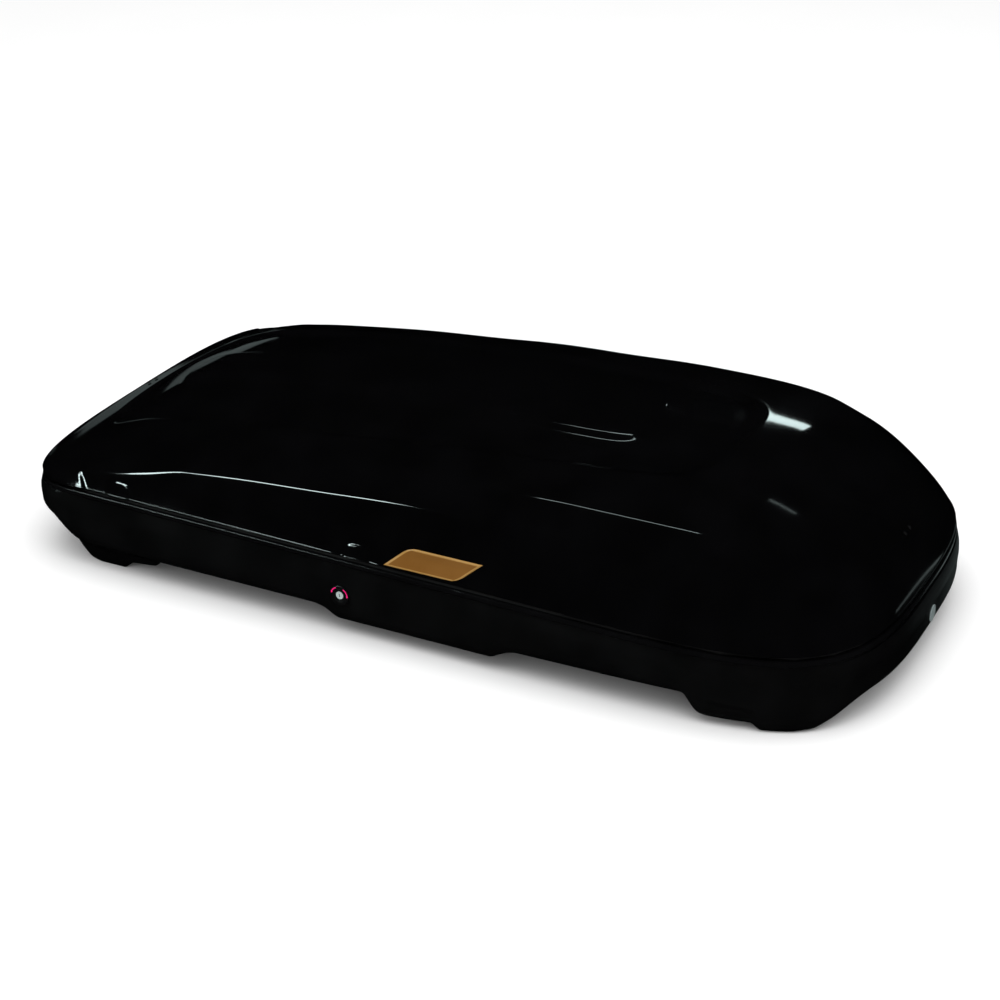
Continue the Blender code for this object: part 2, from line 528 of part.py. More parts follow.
def build_lock():
    """Bezel, turning cylinder with fork, sliding hook bar with its pin, guides and lid strikers."""
    centre = (LOCK_X, LOCK_Y, LOCK_Z)
    bezel = [(BEZEL_BORE, 0.0), (BEZEL_R, 0.0), (BEZEL_R, 0.0018), (BEZEL_R - 0.0015, BEZEL_T),
             (BEZEL_BORE + 0.0018, BEZEL_T), (BEZEL_BORE, 0.0020), (BEZEL_BORE, 0.0)]
    lathe("lock_bezel", bezel, centre, "Y", "grey", 36)
    barrel = [(FORK_SHAFT_R, -FORK_SHAFT_END), (FORK_SHAFT_R, -BARREL_DEPTH), (LOCK_R, -BARREL_DEPTH),
              (LOCK_R, 0.0010), (LOCK_R - 0.0008, 0.0018)]
    lathe("lock_cylinder", barrel, centre, "Y", "silver", 24)
    pin_x, pin_z = LOCK_X - LOCK_THROW / 2.0, LOCK_Z + LOCK_THROW / 2.0
    slot, arm, reach = LATCH_PIN_R + 0.0009, 0.0051, 0.0165
    hub = circle(0.0, 0.0, 0.0070, 13, math.radians(-47.0), -math.radians(266.0))
    fork = [(reach, arm), (reach, slot), (0.0058, slot), (0.0058, -slot), (reach, -slot), (reach, -arm)] + hub
    tilt = math.radians(135.0)
    cos, sin = math.cos(tilt), math.sin(tilt)
    turned = [(LOCK_X + u * cos - w * sin, LOCK_Z + u * sin + w * cos) for u, w in fork]
    inside = BAR_Y + BAR_T + 2.0 * GAP
    plate("lock_fork", turned, "Y", inside, inside + FORK_T, "steel",
          [(LOCK_X, LOCK_Z, FORK_SHAFT_R + GAP)], centre)
    plate("latch_bar", bar_edges(), "Y", BAR_Y, BAR_Y + BAR_T, "steel", [(pin_x, pin_z, LATCH_PIN_R + GAP)])
    lathe("latch_pin", [(0.0034, 0.0017), (0.0034, GAP), (LATCH_PIN_R, GAP), (LATCH_PIN_R, -0.0062)],
          (pin_x, BAR_Y, pin_z), "Y", "steel", 16)
    for index, x in enumerate(HOOK_X, 1):
        wall = side_y(x + GUIDE_HALF) - 0.0095
        shelf, front = BAR_Z - GAP, BAR_Y + BAR_T + GAP
        guide = [(-wall, shelf - GUIDE_FOOT), (-wall, shelf), (front, shelf), (front, shelf + 0.010),
                 (front + GUIDE_T, shelf + 0.010), (front + GUIDE_T, shelf - GUIDE_T),
                 (GUIDE_T - wall, shelf - GUIDE_T), (GUIDE_T - wall, shelf - GUIDE_FOOT)]
        plate(f"bar_guide_{index}", guide, "X", x - GUIDE_HALF, x + GUIDE_HALF, "grey")
        flange = seam_z(x) + STRIKER_Z
        low, high = lid_wall_inside(x, flange), lid_wall_inside(x, flange + STRIKER_LEG)
        tip = BAR_Y + STRIKER_REACH
        striker = [(-low, flange), (tip, flange), (tip, flange + STRIKER_T),
                   (STRIKER_T - low, flange + STRIKER_T), (STRIKER_T - high, flange + STRIKER_LEG),
                   (-high, flange + STRIKER_LEG)]
        plate(f"striker_{index}", striker, "X", x + 0.001, x + 0.016, "steel", origin=(x, HINGE_Y, HINGE_Z))


# ---------------------------------------------------------------- quick clamps


def build_clamps():
    """Four quick clamps: body and knob on the tray floor, two jaws sliding together beneath it."""
    bore, arm, claw = SHAFT_R + 0.002, JAW_REACH - 0.012, JAW_REACH - 0.022
    body = [(bore, 0.0), (BODY_R, 0.0), (BODY_R, 0.004), (BODY_R - 0.005, BODY_H), (bore, BODY_H),
            (bore, 0.0)]
    knob = [(SHAFT_R, -SHAFT_DEPTH), (SHAFT_R, BODY_H + 0.0005), (KNOB_R, BODY_H + 0.0005),
            (KNOB_R, KNOB_TOP - 0.004), (KNOB_R - 0.005, KNOB_TOP), (0.010, KNOB_TOP)]
    for end, x in CLAMP_X.items():
        under = tray_level(x)[1]
        floor, top, low = under + TRAY_WALL + GAP, under - GAP, under - JAW_DROP
        shape = [(-JAW_TAIL, top), (-JAW_TAIL, top - JAW_H), (arm, top - JAW_H), (arm, low + 0.012),
                 (claw, low + 0.006), (claw, low), (JAW_REACH, low), (JAW_REACH, top)]
        for hand, side in (("near", -1), ("far", 1)):
            name, y = f"clamp_{end}_{hand}", side * CLAMP_Y
            lathe(f"{name}_body", body, (x, y, floor), "Z", "grey", 20)
            lathe(f"{name}_knob", knob, (x, y, floor), "Z", "knob", 20)
            for jaw, way in (("front", 1), ("rear", -1)):
                edge = y + way * (SHAFT_R + 0.001)
                outline = [(x + way * u, w) for u, w in shape]
                plate(f"{name}_jaw_{jaw}", outline, "Y", edge, edge + way * JAW_W, "steel", origin=(x, y, top))


# ---------------------------------------------------------------- trim


def wall_strip(name, outline, look, lift, thickness):
    """Thin plate lying on the near wall of the lid; outline in length and height."""
    bm = bmesh.new()
    rings = []
    for out in (lift, lift + thickness):
        out += LID_WALL + LEAF_CLEAR
        rings.append([bm.verts.new((x, -lid_wall_inside(x, z) - out, z)) for x, z in outline])
    for i in range(len(outline)):
        j = (i + 1) % len(outline)
        bm.faces.new((rings[0][i], rings[0][j], rings[1][j], rings[1][i]))
    bm.faces.new(rings[0])
    bm.faces.new(rings[1])
    return add_object(name, bm, look, (0.0, HINGE_Y, HINGE_Z))


def build_trim():
    """Plain side badge, plain nose disc and four small plugs."""
    (x0, x1), (low, high), radius = BADGE_X, BADGE_Z, BADGE_ROUND
    run = (high - low) / math.tan(BADGE_SLANT) + radius * math.tan(BADGE_SLANT / 2.0)
    upper = circle(x0 + run, high - radius, radius, 7, math.pi / 2.0 + BADGE_SLANT, -BADGE_SLANT)
    lower = circle(x1 - run, low + radius, radius, 7, BADGE_SLANT - math.pi / 2.0, -BADGE_SLANT)
    wall_strip("side_badge", [(x0, low)] + upper + [(x1, high)] + lower, "bronze", 0.0005, 0.0012)
    disc = [(DISC_R, 0.0), (DISC_R, 0.0016), (DISC_R - 0.0015, 0.0024)]
    lathe("nose_disc", disc, (NOSE_X + DISC_OUT, 0.0, DISC_Z), (1, 0, 0), "silver", 28)
    ends = (("rear", REAR_X, REAR_SPINE, PLUG_X[0]), ("nose", NOSE_X, NOSE_SPINE, PLUG_X[1]))
    for end, tip, spine, x in ends:
        v = (x - spine) / (tip - spine)
        here, near = lid_point(tip, 0.0, v), lid_point(tip, 0.0, v - 0.01)
        run = (near - here) * math.copysign(1.0, near.x - here.x)
        normal = Vector((-run.z, 0.0, run.x)).normalized()
        for index, y in ((1, -PLUG_Y), (2, PLUG_Y)):
            lathe(f"plug_{end}_{index}", [(PLUG_R, 0.0), (PLUG_R, 0.0014), (PLUG_R - 0.0012, 0.0022)],
                  here + Vector((0.0, y, 0.0)) + normal * 0.0012, tuple(normal), "rubber", 14)


def main():
    """Build every piece."""
    clear_scene()
    build_tray()
    build_lid()
    build_seal()
    build_hinges()
    build_stays()
    build_lock()
    build_clamps()
    build_trim()


main()
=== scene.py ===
"""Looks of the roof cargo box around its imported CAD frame."""
import math

import bmesh
import bpy
import numpy as np
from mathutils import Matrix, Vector


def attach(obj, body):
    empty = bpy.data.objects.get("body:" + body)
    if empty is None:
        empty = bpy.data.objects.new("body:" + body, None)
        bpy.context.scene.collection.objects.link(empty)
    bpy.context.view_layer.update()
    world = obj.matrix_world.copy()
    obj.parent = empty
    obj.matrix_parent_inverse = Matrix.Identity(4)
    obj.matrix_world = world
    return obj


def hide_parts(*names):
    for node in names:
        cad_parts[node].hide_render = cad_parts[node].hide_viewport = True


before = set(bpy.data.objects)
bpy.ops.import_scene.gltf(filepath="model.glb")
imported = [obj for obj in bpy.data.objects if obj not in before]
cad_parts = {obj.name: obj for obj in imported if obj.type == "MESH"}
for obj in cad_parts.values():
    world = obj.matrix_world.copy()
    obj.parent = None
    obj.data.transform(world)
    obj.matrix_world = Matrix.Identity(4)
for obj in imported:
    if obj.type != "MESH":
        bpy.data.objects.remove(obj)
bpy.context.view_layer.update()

# Plan outline, as in the CAD
HALF_W = 0.460
REAR_X, REAR_SPINE, REAR_POW = -0.909, -0.717, (4.2, 3.2)
NOSE_X, NOSE_SPINE, NOSE_POW = 0.921, 0.183, (5.6, 3.2)
SEAM_Z, SEAM_SLOPE, SEAM_GAP = 0.1757, -0.0165, 0.009
LID_WALL = TRAY_WALL = 0.004
# Lid centre line as station and height; the heights come from a numeric fit to the photo's outline, rounded
LID_TOP = np.array(((-1.067, 0.190), (-0.967, 0.206), (-0.887, 0.214), (-0.817, 0.244), (-0.737, 0.281),
                    (-0.677, 0.303), (-0.567, 0.324), (-0.377, 0.347), (-0.177, 0.360), (-0.017, 0.372),
                    (0.183, 0.378), (0.333, 0.382), (0.583, 0.377), (0.733, 0.360), (1.033, 0.344)))
# Crown: how far the top's side edge lies below its centre line, and how much more or less at places
CROWN, CROWN_MID, CROWN_REAR, CROWN_NOSE = 0.059, 0.017, -0.028, 0.011
CROWN_MID_AT, CROWN_MID_SPREAD = -0.517, 0.35
LID_NOSE_POW, LID_REAR_POW = 7.0, 14.0
# Side of the lid: wall slope, shoulder facet as height, place and slope, and the softness of both creases
WALL_SLOPE, (FACET_RISE, FACET_V, FACET_SLOPE) = 8.2, (0.76, 0.93, 1.71)
FLANK_SOFT, SHOULDER_SOFT = (0.030, 0.10, 0.16), (0.022, 0.055)
RAIL_IN, PANEL_OUT, CHANNEL_DEPTH = (0.60, 0.49), (0.13, 0.22), 0.010
TRAY_SPINE = (-0.787, 0.753)
NOSE_BULGE, REAR_BULGE = 0.014, 0.017
# Points round the plan in the fine skins, and samples that they are taken from
PLAN_POINTS, PLAN_SAMPLES = 640, 1500
# Walls of the fine skins, a little thinner than the CAD's, and height of the glossier rim flange
LID_SKIN, TRAY_SKIN, RIM_HEIGHT = LID_WALL - 0.0008, TRAY_WALL - 0.0003, 0.0122
# Rounded lower edge of the lid: inset and drop of each ring, and lift of the skin's own edge
LID_LIP, LIP_LIFT = ((0.0030, 0.0012), (0.0012, 0.0012), (0.0004, 0.0008)), 0.0012
# Long scoop low on the lid's side: its two slanting ends as height and station, depth, fading height
SCOOP_FRONT = ((0.150, 0.165, 0.183, 0.212), (0.409, 0.365, 0.342, 0.318))
SCOOP_REAR = ((0.180, 0.198, 0.215), (-0.716, -0.734, -0.750))
SCOOP_DEPTH, SCOOP_TOP = 0.0032, (0.203, 0.224)
# Swellings over the three hooks: stations, half width, height above the lid edge, depth
BLISTER_X, BLISTER = (-0.645, -0.087, 0.489), (0.027, 0.026, 0.0028)
# Lock and badges
LOCK_X, LOCK_Y, LOCK_Z = -0.122, -0.4586, 0.090
BADGE_X, BADGE_Z, BADGE_ROUND, BADGE_SLANT = (-0.024, 0.184), (0.1800, 0.2225), 0.050, 40.2
# Badge plate: thickness, softened edge, steps along and up
BADGE_THICK, BADGE_EDGE, BADGE_STEPS = 0.0016, 0.0009, (30, 16)
# Key cylinder: segments, radius and stand-out of its face, turn of the key slot in degrees, slot depth
KEY_SEGMENTS, KEY_FACE_R, KEY_FACE_OUT, KEY_TURN, SLOT_DEPTH = 48, 0.0074, 0.0017, 12.0, 0.0025
# Turning marks on the bezel: inner and outer radius, stand-out, steps along each arc
MARK_INNER_R, MARK_OUTER_R, MARK_OUT, MARK_STEPS = 0.0170, 0.0192, 0.00318, 24


# ---------------------------------------------------------------- small maths


def smooth(start, end, value):
    """Smoothstep from start to end."""
    t = np.clip((value - start) / (end - start), 0.0, 1.0)
    return t * t * (3.0 - 2.0 * t)


def soft_min(a, b, width):
    """Smaller of two values with a rounded hand-over."""
    h = np.clip(0.5 + 0.5 * (b - a) / width, 0.0, 1.0)
    return b * (1.0 - h) + a * h - width * h * (1.0 - h)


def seam_z(x):
    """Height of the lid edge."""
    return SEAM_Z + SEAM_SLOPE * x


def lid_crest(x):
    """Height of the lid's centre line."""
    knots = LID_TOP
    i = np.clip(np.searchsorted(knots[:, 0], x, side="right") - 1, 1, len(knots) - 3)
    (x0, z0), (x1, z1), (x2, z2), (x3, z3) = ((knots[i + k, 0], knots[i + k, 1]) for k in (-1, 0, 1, 2))
    t = (x - x1) / (x2 - x1)
    m1, m2 = (z2 - z0) / (x2 - x0) * (x2 - x1), (z3 - z1) / (x3 - x1) * (x2 - x1)
    return ((2 * t ** 3 - 3 * t ** 2 + 1) * z1 + (t ** 3 - 2 * t ** 2 + t) * m1
            + (3 * t ** 2 - 2 * t ** 3) * z2 + (t ** 3 - t ** 2) * m2)


def half_plan(count):
    """Evenly spaced plan points from rear centre along one side to the nose centre."""
    a = np.linspace(0.0, math.pi / 2.0, PLAN_SAMPLES)
    ends = []
    for spine, tip, power in ((REAR_SPINE, REAR_X, REAR_POW), (NOSE_SPINE, NOSE_X, NOSE_POW)):
        x = spine + (tip - spine) * np.cos(a) ** (2.0 / power[0])
        y = HALF_W * np.sin(a) ** (2.0 / power[1])
        ends.append((x, y))
    x = np.concatenate((ends[0][0], ends[1][0][::-1]))
    y = np.concatenate((ends[0][1], ends[1][1][::-1]))
    s = np.concatenate(((0.0,), np.cumsum(np.hypot(np.diff(x), np.diff(y)))))
    t = np.linspace(0.0, s[-1], count)
    return np.interp(t, s, x), np.interp(t, s, y)


def full_plan(count):
    """Closed plan: near side rear to nose, then the far side back."""
    x, y = half_plan(count)
    return np.concatenate((x, x[-2:0:-1])), np.concatenate((-y, y[-2:0:-1]))


def end_facing(x, y):
    """How far the plan outline faces the nose and the rear, each 0 to 1."""
    out = []
    for spine, tip, power in ((NOSE_SPINE, NOSE_X, NOSE_POW), (REAR_SPINE, REAR_X, REAR_POW)):
        t = np.clip((x - spine) / (tip - spine), 0.0, 1.0)
        along = power[0] * t ** (power[0] - 1.0) / abs(tip - spine)
        across = power[1] * (np.abs(y) / HALF_W) ** (power[1] - 1.0) / HALF_W
        out.append(np.where(t > 0.0, smooth(0.0, 1.04, along / np.hypot(along, across + 1e-9)), 0.0))
    return out


# ---------------------------------------------------------------- mesh helpers


def new_object(name, verts, faces, smooth_shading=True):
    """Mesh object from arrays."""
    mesh = bpy.data.meshes.new(name)
    mesh.from_pydata([tuple(v) for v in verts], [], [tuple(f) for f in faces])
    mesh.validate()
    if smooth_shading:
        mesh.polygons.foreach_set("use_smooth", [True] * len(mesh.polygons))
    obj = bpy.data.objects.new(name, mesh)
    bpy.context.scene.collection.objects.link(obj)
    return obj


def ring_faces(rings, count):
    """Quads between successive closed rings of equal length."""
    k = np.arange(count)
    j = (k + 1) % count
    faces = []
    for r in range(rings - 1):
        a, b = r * count, (r + 1) * count
        faces.append(np.stack((a + k, a + j, b + j, b + k), 1))
    return np.concatenate(faces)


def skin(name, grid):
    """Open skin from an array of rings whose last ring folds shut along the spine."""
    rings, count, _ = grid.shape
    verts = grid.reshape(-1, 3)
    faces = ring_faces(rings, count)
    # The last ring's far side lies on its near side, so the two are welded by index
    last = (rings - 1) * count
    half = count // 2
    remap = np.arange(len(verts))
    for k in range(1, half):
        remap[last + count - k] = last + k
    faces = remap[faces]
    clean = []
    for f in faces:
        f = list(dict.fromkeys(int(i) for i in f))
        if len(f) > 2:
            clean.append(f)
    obj = new_object(name, verts, clean)
    bm = bmesh.new()
    bm.from_mesh(obj.data)
    loose = [v for v in bm.verts if not v.link_faces]
    bmesh.ops.delete(bm, geom=loose, context="VERTS")
    bmesh.ops.remove_doubles(bm, verts=bm.verts, dist=0.00001)
    bmesh.ops.recalc_face_normals(bm, faces=bm.faces)
    bm.to_mesh(obj.data)
    bm.free()
    return obj


def face_outwards(obj, up):
    """Flip an open skin if it faces the wrong way."""
    if (sum(p.normal.z * p.area for p in obj.data.polygons) > 0.0) != up:
        obj.data.flip_normals()


def thicken(obj, thickness):
    """Wall thickness towards the inside."""
    mod = obj.modifiers.new("wall", "SOLIDIFY")
    mod.thickness = thickness
    mod.offset = -1.0


# ---------------------------------------------------------------- materials


def node_material(name):
    """Empty node material with its Principled shader."""
    mat = bpy.data.materials.new(name)
    mat.use_nodes = True
    return mat, mat.node_tree.nodes, mat.node_tree.links, mat.node_tree.nodes["Principled BSDF"]


def object_coords(nodes):
    """Object-space coordinates, in metres."""
    return nodes.new("ShaderNodeTexCoord").outputs["Object"]


def noise(nodes, links, vector, scale, detail=2.0, rough=0.5):
    """Noise texture output."""
    tex = nodes.new("ShaderNodeTexNoise")
    tex.inputs["Scale"].default_value = scale
    tex.inputs["Detail"].default_value = detail
    tex.inputs["Roughness"].default_value = rough
    links.new(vector, tex.inputs["Vector"])
    return tex.outputs["Fac"]


def ramp(nodes, links, value, low, high, a, b):
    """Map a value range to another, clamped."""
    node = nodes.new("ShaderNodeMapRange")
    for key, val in (("From Min", low), ("From Max", high), ("To Min", a), ("To Max", b)):
        node.inputs[key].default_value = val
    links.new(value, node.inputs["Value"])
    return node.outputs["Result"]


def mix_colour(nodes, links, fac, a, b):
    """Blend two colours by a value."""
    node = nodes.new("ShaderNodeMix")
    node.data_type = "RGBA"
    node.inputs[6].default_value = (*a, 1.0)
    node.inputs[7].default_value = (*b, 1.0)
    links.new(fac, node.inputs[0])
    return node.outputs[2]


def bump(nodes, links, height, strength, distance, normal=None):
    """Bump node output."""
    node = nodes.new("ShaderNodeBump")
    node.inputs["Strength"].default_value = strength
    node.inputs["Distance"].default_value = distance
    links.new(height, node.inputs["Height"])
    if normal is not None:
        links.new(normal, node.inputs["Normal"])
    return node.outputs["Normal"]


def plastic(name, dark, light, rough, grain_scale, grain_depth, specular=0.5, wave=None):
    """Moulded plastic: mottled colour, varying roughness and a grain; wave adds a faint slow ripple."""
    mat, nodes, links, bsdf = node_material(name)
    at = object_coords(nodes)
    blotch = noise(nodes, links, at, 9.0, 4.0)
    fine = noise(nodes, links, at, grain_scale, 3.0, 0.6)
    links.new(mix_colour(nodes, links, ramp(nodes, links, blotch, 0.35, 0.65, 0.0, 1.0), dark, light),
              bsdf.inputs["Base Color"])
    links.new(ramp(nodes, links, blotch, 0.3, 0.7, rough[0], rough[1]), bsdf.inputs["Roughness"])
    bsdf.inputs["Specular IOR Level"].default_value = specular
    normal = bump(nodes, links, fine, 1.0, grain_depth)
    if wave:
        normal = bump(nodes, links, noise(nodes, links, at, wave[0], 1.0), 1.0, wave[1], normal)
    links.new(normal, bsdf.inputs["Normal"])
    return mat


def metal(name, colour, rough, scale=600.0, depth=0.00002):
    """Metal with a fine brushed or zinc grain and slight tarnish."""
    mat, nodes, links, bsdf = node_material(name)
    at = object_coords(nodes)
    blotch = noise(nodes, links, at, 60.0, 4.0)
    dull = tuple(c * 0.78 for c in colour)
    links.new(mix_colour(nodes, links, ramp(nodes, links, blotch, 0.35, 0.7, 0.0, 1.0), colour, dull),
              bsdf.inputs["Base Color"])
    bsdf.inputs["Metallic"].default_value = 1.0
    links.new(ramp(nodes, links, blotch, 0.3, 0.7, rough[0], rough[1]), bsdf.inputs["Roughness"])
    links.new(bump(nodes, links, noise(nodes, links, at, scale, 2.0), 1.0, depth), bsdf.inputs["Normal"])
    return mat


MAT = {
    "lid": plastic("lid_gloss", (0.0008, 0.0008, 0.0009), (0.0013, 0.0013, 0.0015), (0.045, 0.075), 2400.0,
                   0.0000015, 0.32, (220.0, 0.000012)),
    "tray": plastic("tray_grain", (0.0014, 0.0014, 0.0016), (0.0026, 0.0026, 0.0029), (0.36, 0.46), 900.0,
                    0.00008, 0.30),
    "cloth": plastic("flag_cloth", (0.0, 0.0, 0.0), (0.0002, 0.0002, 0.0002), (0.80, 0.90), 700.0,
                     0.00006, 0.0),
    "rim": plastic("tray_rim", (0.0016, 0.0016, 0.0018), (0.0024, 0.0024, 0.0027), (0.12, 0.18), 1400.0,
                   0.00001, 0.35),
    "bezel": plastic("bezel_black", (0.0020, 0.0020, 0.0022), (0.0032, 0.0032, 0.0035), (0.30, 0.40), 1100.0,
                     0.00003, 0.35),
    # Dark rubber for the seal and plugs; the key slot's walls and floor take it too, as painted shade
    "rubber": plastic("seal_rubber", (0.004, 0.004, 0.004), (0.008, 0.008, 0.008), (0.70, 0.85), 700.0,
                      0.00006, 0.2),
    "grey": plastic("grey_plastic", (0.018, 0.018, 0.020), (0.026, 0.026, 0.028), (0.38, 0.50), 1100.0,
                    0.00004),
    "knob": plastic("knob_plastic", (0.028, 0.028, 0.030), (0.040, 0.040, 0.043), (0.42, 0.55), 900.0,
                    0.00007),
    "paint": plastic("arm_paint", (0.020, 0.020, 0.022), (0.030, 0.030, 0.032), (0.30, 0.40), 800.0,
                     0.00003),
    "steel": metal("zinc_steel", (0.62, 0.62, 0.61), (0.28, 0.42)),
    # Key face: pale, partly the aluminium's own silver tone and partly a painted reflection standing in for
    # the metal's shine
    "silver": plastic("key_face_painted_reflection", (0.34, 0.41, 0.40), (0.42, 0.49, 0.48), (0.30, 0.45), 700.0,
                      0.00003, 0.5),
    "bronze": plastic("badge_bronze", (0.150, 0.062, 0.008), (0.172, 0.074, 0.011), (0.32, 0.42), 1500.0,
                      0.00001, 0.15),
    # Lighter bronze for the badge's border faces: a painted highlight along its edges
    "bronze_painted_edge_highlight": plastic("badge_painted_edge_highlight", (0.30, 0.160, 0.035), (0.34, 0.185, 0.045), (0.32, 0.42),
                           1500.0, 0.00001, 0.3),
    "mark": plastic("turn_mark", (0.78, 0.006, 0.16), (0.86, 0.009, 0.19), (0.40, 0.50), 900.0,
                    0.00002, 0.1),
    # Nose disc: pale, partly the aluminium's own tone and partly a painted reflection standing in for the
    # metal's shine
    "pale": plastic("pale_plate_painted_reflection", (0.13, 0.16, 0.16), (0.18, 0.22, 0.22), (0.30, 0.40), 900.0,
                    0.00002, 0.4),
}


# ---------------------------------------------------------------- lid


def lid_profile(v, x):
    """Rise of the lid's side from edge to crown: steep wall, crease, shoulder facet, crease, flat top."""
    flank = FLANK_SOFT[0] + FLANK_SOFT[1] * smooth(0.02, 0.18, x) + FLANK_SOFT[2] * smooth(-0.52, -0.62, x)
    shoulder = SHOULDER_SOFT[0] + SHOULDER_SOFT[1] * smooth(0.26, 0.10, x)
    wall = (1.0 - v) * WALL_SLOPE * (1.0 + 0.6 * smooth(-0.50, -0.68, x))
    facet = FACET_RISE + (FACET_V - v) * FACET_SLOPE
    return soft_min(soft_min(wall, facet, flank), 1.0, shoulder)


def side_relief(x, z):
    """How far the lid's side stands in: the long scoop less the swellings over the hooks."""
    front, rear = np.interp(z, *SCOOP_FRONT), np.interp(z, *SCOOP_REAR)
    scoop = smooth(rear - 0.004, rear + 0.004, x) * smooth(front + 0.004, front - 0.004, x)
    depth = SCOOP_DEPTH * scoop * smooth(SCOOP_TOP[1], SCOOP_TOP[0], z)
    half, tall, out = BLISTER
    for centre in BLISTER_X:
        away = np.abs(x - centre)
        dome = 1.0 - np.abs((x - centre) / half) ** 3 - ((z - seam_z(x)) / tall) ** 4
        depth = depth + (out * (0.4 - smooth(0.0, 0.30, dome)) * (away < 2.0 * half)
                         * smooth(2.0 * half, half, away) * smooth(SCOOP_TOP[1], SCOOP_TOP[0], z))
    return np.maximum(depth, 0.0)


def lid_points(px, py, v):
    """Outer skin of the lid over plan points drawn in to fraction v of the way from the spine."""
    spine = np.clip(px, REAR_SPINE, NOSE_SPINE)
    x, y = spine + v * (px - spine), v * py
    crown = (CROWN + CROWN_MID * np.exp(-((x - CROWN_MID_AT) / CROWN_MID_SPREAD) ** 2)
             + CROWN_REAR * smooth(-0.64, -0.87, x) + CROWN_NOSE * smooth(0.40, 0.85, x))
    top = lid_crest(x) - crown * (y / HALF_W) ** 2
    rail = RAIL_IN[0] + (RAIL_IN[1] - RAIL_IN[0]) * smooth(-0.32, 0.58, x)
    panel = PANEL_OUT[0] + (PANEL_OUT[1] - PANEL_OUT[0]) * smooth(-0.62, 0.38, x)
    channel = smooth(panel, panel + 0.04, v) * smooth(rail, rail - 0.06, v)
    top = top - CHANNEL_DEPTH * channel * smooth(-0.90, -0.76, x) * smooth(0.86, 0.68, x)
    nose, rear = end_facing(px, py)
    rise = ((1.0 - nose - rear) * lid_profile(v, x) + nose * (1.0 - v ** LID_NOSE_POW)
            + rear * (1.0 - v ** LID_REAR_POW))
    edge = seam_z(x)
    z = edge + (top - edge) * rise
    inward = np.sign(y) * side_relief(x, z) * (1.0 - nose - rear) * smooth(0.90, 0.95, v)
    return np.stack((x, y - inward, z), -1)


def build_lid():
    """High-resolution lid skin with a rounded lower edge."""
    px, py = full_plan(PLAN_POINTS)
    v = np.concatenate((np.linspace(1.0, 0.962, 26), np.linspace(0.959, 0.70, 60),
                        np.linspace(0.694, 0.0, 60)))
    grid = lid_points(px[None, :], py[None, :], v[:, None])
    nx, ny = np.roll(py, -1) - np.roll(py, 1), -(np.roll(px, -1) - np.roll(px, 1))
    out = np.stack((nx, ny), -1) / np.hypot(nx, ny)[:, None]
    grid[0, :, 2] += LIP_LIFT
    lip = []
    for inset, drop in LID_LIP:
        ring = grid[0].copy()
        ring[:, :2] -= out * inset
        ring[:, 2] -= drop
        lip.append(ring)
    grid = np.concatenate((np.array(lip), grid))
    obj = skin("lid_skin", grid)
    face_outwards(obj, True)
    thicken(obj, LID_SKIN)
    obj.data.materials.append(MAT["lid"])
    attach(obj, "lid")
    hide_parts("lid_shell")


# ---------------------------------------------------------------- tray

# Station X, skirt bottom Z, tub floor Z, tub inset
TRAY_LEVELS = np.array((
    (-0.935, 0.108, 0.104, 0.045), (-0.840, 0.106, 0.100, 0.045), (-0.812, 0.098, 0.088, 0.042),
    (-0.790, 0.080, 0.056, 0.042), (-0.770, 0.062, 0.026, 0.042), (-0.750, 0.053, 0.006, 0.042),
    (-0.728, 0.050, 0.000, 0.042), (-0.662, 0.050, 0.000, 0.043), (-0.652, 0.050, 0.014, 0.045),
    (-0.592, 0.050, 0.015, 0.054), (-0.567, 0.050, 0.052, 0.056), (-0.547, 0.050, 0.055, 0.056),
    (-0.187, 0.050, 0.055, 0.056), (-0.167, 0.046, 0.050, 0.056), (-0.137, 0.029, 0.029, 0.056),
    (0.203, 0.029, 0.029, 0.056), (0.233, 0.046, 0.050, 0.056), (0.253, 0.052, 0.056, 0.056),
    (0.433, 0.055, 0.057, 0.056), (0.573, 0.057, 0.057, 0.050), (0.598, 0.056, 0.054, 0.044),
    (0.610, 0.036, 0.034, 0.040), (0.623, 0.020, 0.018, 0.040), (0.640, 0.016, 0.015, 0.040),
    (0.727, 0.015, 0.015, 0.040), (0.733, 0.001, 0.000, 0.040), (0.790, 0.000, 0.000, 0.036),
    (0.822, 0.004, 0.000, 0.034), (0.850, 0.024, 0.000, 0.040), (0.874, 0.046, 0.000, 0.050),
    (0.891, 0.056, 0.000, 0.058), (0.921, 0.060, 0.000, 0.062)))
# Each ring: inset, share of the height from skirt bottom (0) to rim (1), drop below that, end bulge
WALL_RINGS = np.array((
    (0.0160, 1.0, 0.0, 0.2), (0.0040, 1.0, 0.0, 0.2), (0.0018, 1.0, 0.0003, 0.2),
    (0.0005, 1.0, 0.0013, 0.2), (0.0, 1.0, 0.0030, 0.2), (0.0, 1.0, 0.0090, 0.2),
    (0.0004, 1.0, 0.0108, 0.2), (0.0016, 1.0, 0.0120, 0.22), (0.0030, 1.0, 0.0126, 0.25),
    (0.0036, 1.0, 0.0140, 0.3), (0.0034, 0.86, 0.0, 0.55), (0.0026, 0.74, 0.0, 0.78),
    (0.0020, 0.62, 0.0, 0.92), (0.0022, 0.50, 0.0, 1.0), (0.0028, 0.36, 0.0, 1.0),
    (0.0038, 0.24, 0.0, 1.06), (0.0056, 0.13, 0.0, 1.20), (0.0084, 0.055, 0.0, 1.36),
    (0.0125, 0.015, 0.0, 1.42), (0.0180, 0.0, 0.0, 1.30)))


def tray_level(x, column):
    """Skirt height, tub height or tub inset at a station, eased over a few millimetres."""
    offsets = np.linspace(-0.006, 0.006, 7)
    return np.mean([np.interp(x + d, TRAY_LEVELS[:, 0], TRAY_LEVELS[:, column]) for d in offsets], axis=0)


